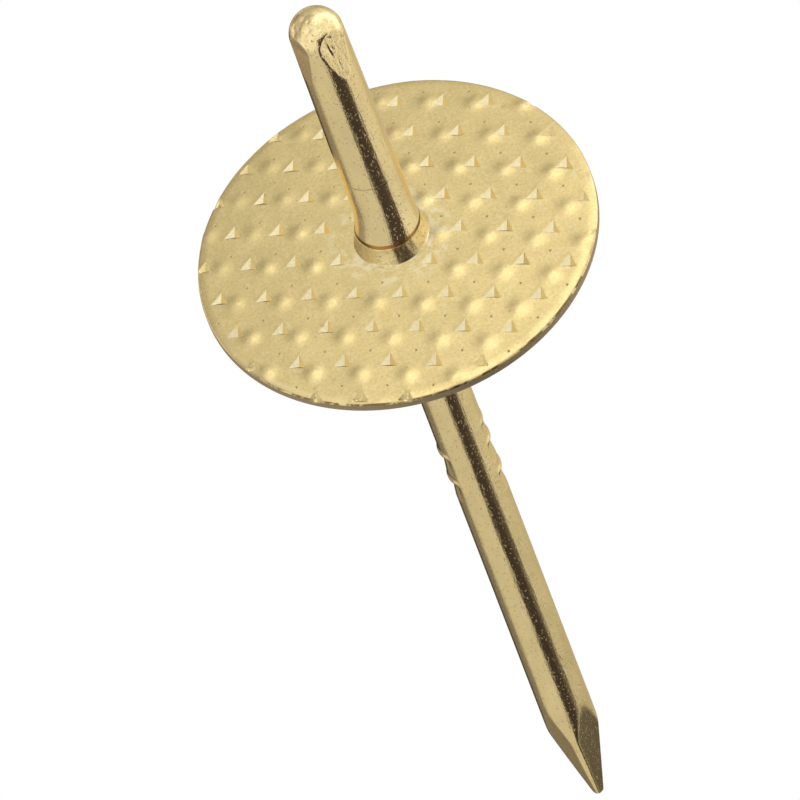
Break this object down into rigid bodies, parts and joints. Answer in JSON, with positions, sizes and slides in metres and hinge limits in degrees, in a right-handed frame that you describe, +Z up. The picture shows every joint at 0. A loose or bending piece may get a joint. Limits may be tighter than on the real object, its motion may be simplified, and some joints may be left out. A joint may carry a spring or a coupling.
{
  "type": "picture hook",
  "caption": "Picture hook: a brass-plated wall nail with a diamond point carries a domed, embossed round plate, and its headed end stands out as a stub that holds a picture's wire or ring.",
  "frame": {"origin": "on the shank's axis, in the plane of the wall, where the disc's rim touches it", "axes": "+Y along the shank into the wall, +Z up the wall, X across it; the hanging stub stands out towards -Y"},
  "size_m": [0.0159, 0.0495, 0.0158],
  "materials": {
    "polished_brass_plate": "polished brass plate on steel, with fine drawing marks",
    "satin_brass_plate": "satin brass plate on embossed steel sheet"
  },
  "bodies": {
    "root": {"nail": "polished_brass_plate", "disc": "satin_brass_plate"}
  },
  "joints": []
}
